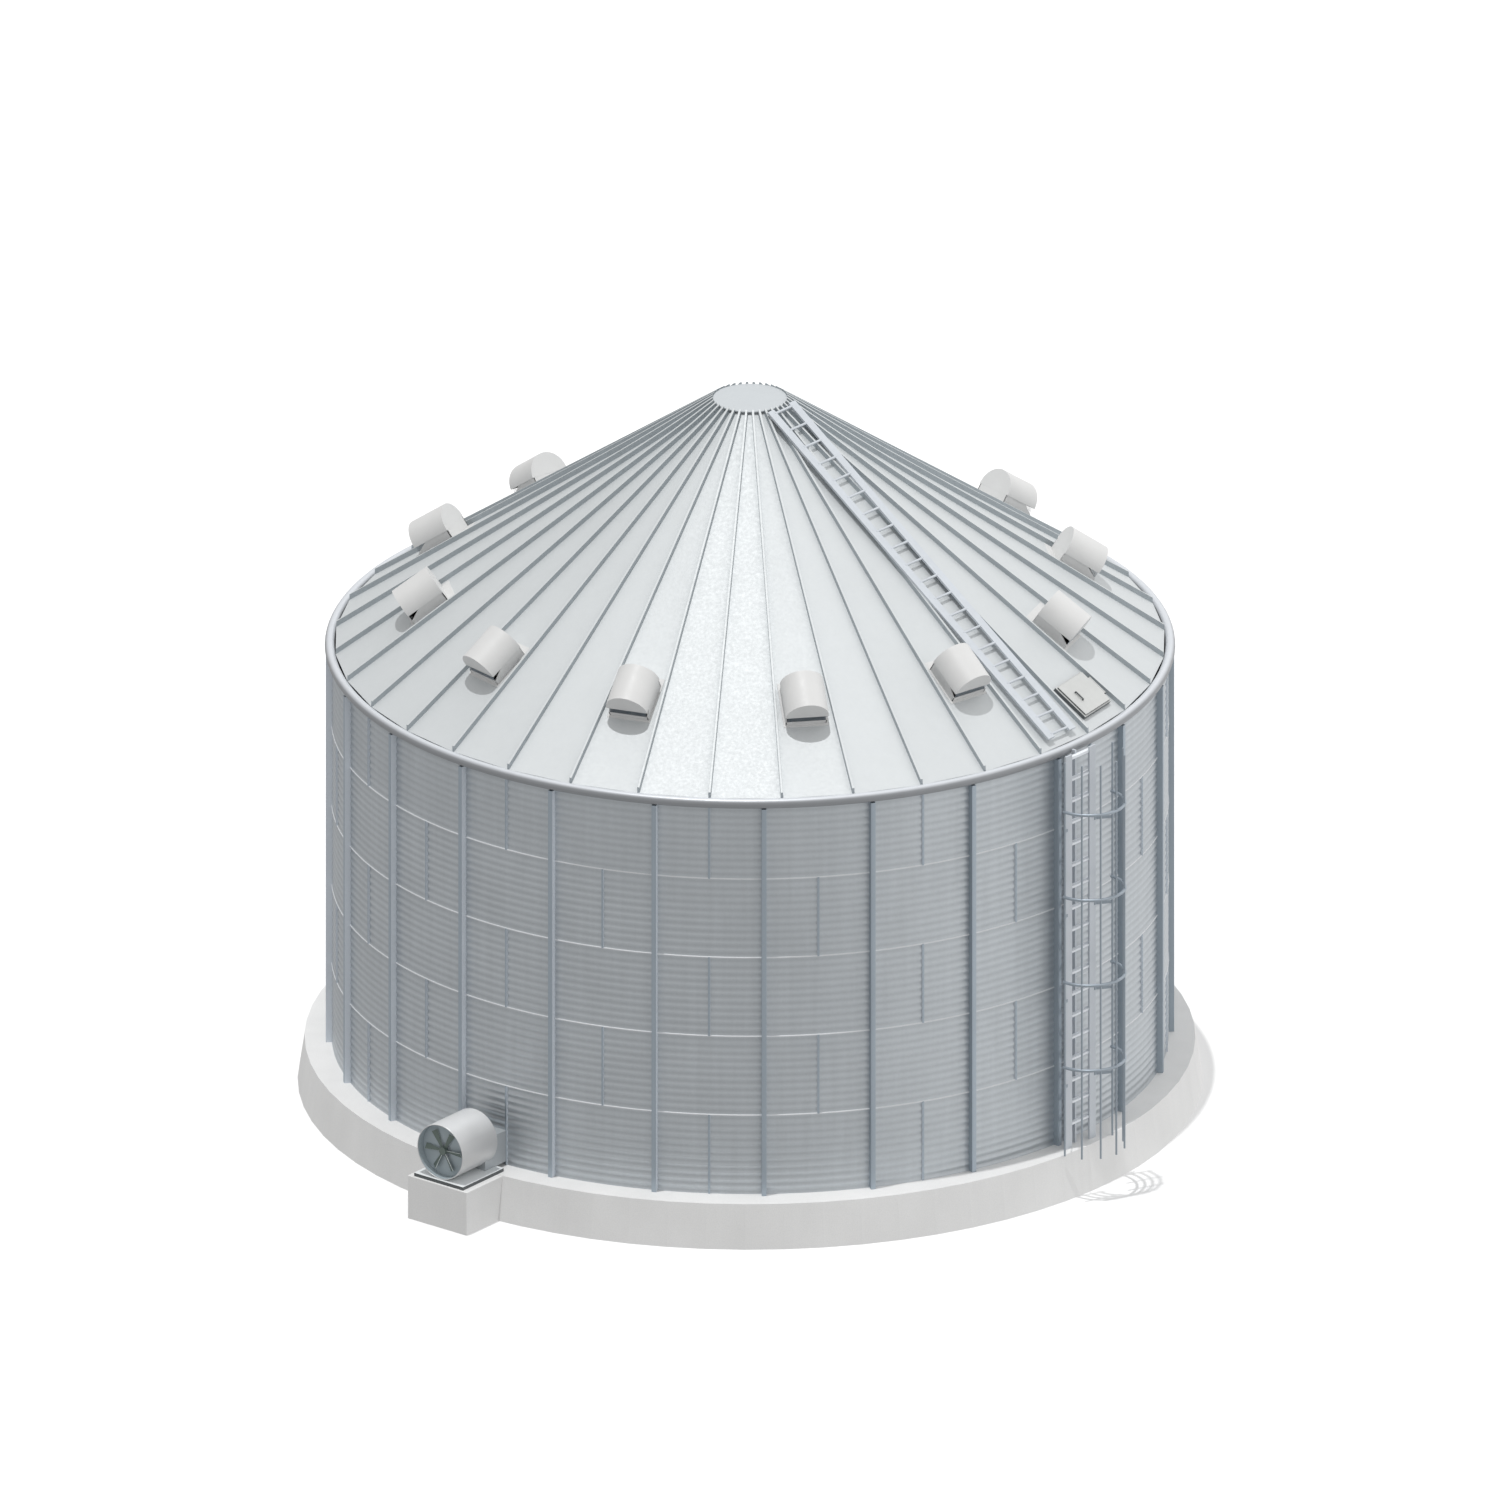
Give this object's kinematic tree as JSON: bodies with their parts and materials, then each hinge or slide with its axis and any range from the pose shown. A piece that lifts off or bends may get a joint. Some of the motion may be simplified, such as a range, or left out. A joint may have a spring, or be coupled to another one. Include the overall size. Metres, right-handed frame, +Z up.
{
  "type": "grain silo",
  "caption": "Flat-bottomed round grain silo of corrugated steel on a concrete foundation, with a ribbed conical roof, hooded vents, a hatch, ladders, a safety cage and an aeration fan.",
  "frame": {"origin": "on the ground, on the silo's vertical axis, under the middle of the foundation", "axes": "+Z up; -Y towards the front, +X to the right of it; the side ladder stands 55 degrees and the fan 33 degrees either side of the front"},
  "size_m": [11.89, 11.89, 9.6933],
  "materials": {
    "concrete": "pale cast concrete, matt",
    "galvanised_sheet": "galvanised corrugated sheet, satin grey",
    "roof_sheet": "galvanised roof sheet, bright satin",
    "galvanised_frame": "galvanised section, blue-grey satin",
    "white_painted_steel": "off-white painted sheet, semi-matt",
    "dark_fan": "dark grey-green painted metal"
  },
  "bodies": {
    "silo": {"foundation": "concrete", "fan_plinth": "concrete", "wall_segment_1": "galvanised_sheet", "wall_segment_2": "galvanised_sheet", "wall_segment_3": "galvanised_sheet", "wall_segment_4": "galvanised_sheet", "wall_segment_5": "galvanised_sheet", "wall_segment_6": "galvanised_sheet", "eave_tube_1": "roof_sheet", "eave_tube_2": "roof_sheet", "eave_tube_3": "roof_sheet", "eave_tube_4": "roof_sheet", "roof_segment_1": "roof_sheet", "roof_segment_2": "roof_sheet", "roof_segment_3": "roof_sheet", "roof_segment_4": "roof_sheet", "roof_segment_5": "roof_sheet", "roof_segment_6": "roof_sheet", "roof_cap": "roof_sheet", "roof_vent_01": "white_painted_steel", "roof_vent_02": "white_painted_steel", "roof_vent_03": "white_painted_steel", "roof_vent_04": "white_painted_steel", "roof_vent_05": "white_painted_steel", "roof_vent_06": "white_painted_steel", "roof_vent_07": "white_painted_steel", "roof_vent_08": "white_painted_steel", "roof_vent_09": "white_painted_steel", "roof_vent_10": "white_painted_steel", "roof_vent_11": "white_painted_steel", "roof_vent_12": "white_painted_steel", "roof_ladder": "galvanised_frame", "hatch_frame": "galvanised_frame", "side_ladder": "galvanised_frame", "cage_bar_1": "galvanised_frame", "cage_bar_2": "galvanised_frame", "cage_bar_3": "galvanised_frame", "cage_bar_4": "galvanised_frame", "cage_bar_5": "galvanised_frame", "cage_bar_6": "galvanised_frame", "cage_bar_7": "galvanised_frame", "cage_hoop_1": "galvanised_frame", "cage_hoop_2": "galvanised_frame", "cage_hoop_3": "galvanised_frame", "cage_hoop_4": "galvanised_frame", "fan_base_plate": "galvanised_frame", "fan_duct": "white_painted_steel", "fan_housing": "white_painted_steel", "fan_motor": "dark_fan"},
    "fan_rotor": {"fan_rotor": "dark_fan"},
    "hatch_lid": {"hatch_lid": "galvanised_frame"}
  },
  "joints": [
    {"name": "fan_spin", "type": "hinge", "parent": "silo", "child": "fan_rotor", "pos_m": [-3.49658, -5.38427, 1.0426], "axis": [-0.5446, -0.8387, 0], "continuous": true},
    {"name": "hatch_hinge", "type": "hinge", "parent": "silo", "child": "hatch_lid", "pos_m": [4.76375, -1.8396, 6.52696], "axis": [-0.7465, 0.3481, 0.5671], "range_deg": [0, 100]}
  ]
}
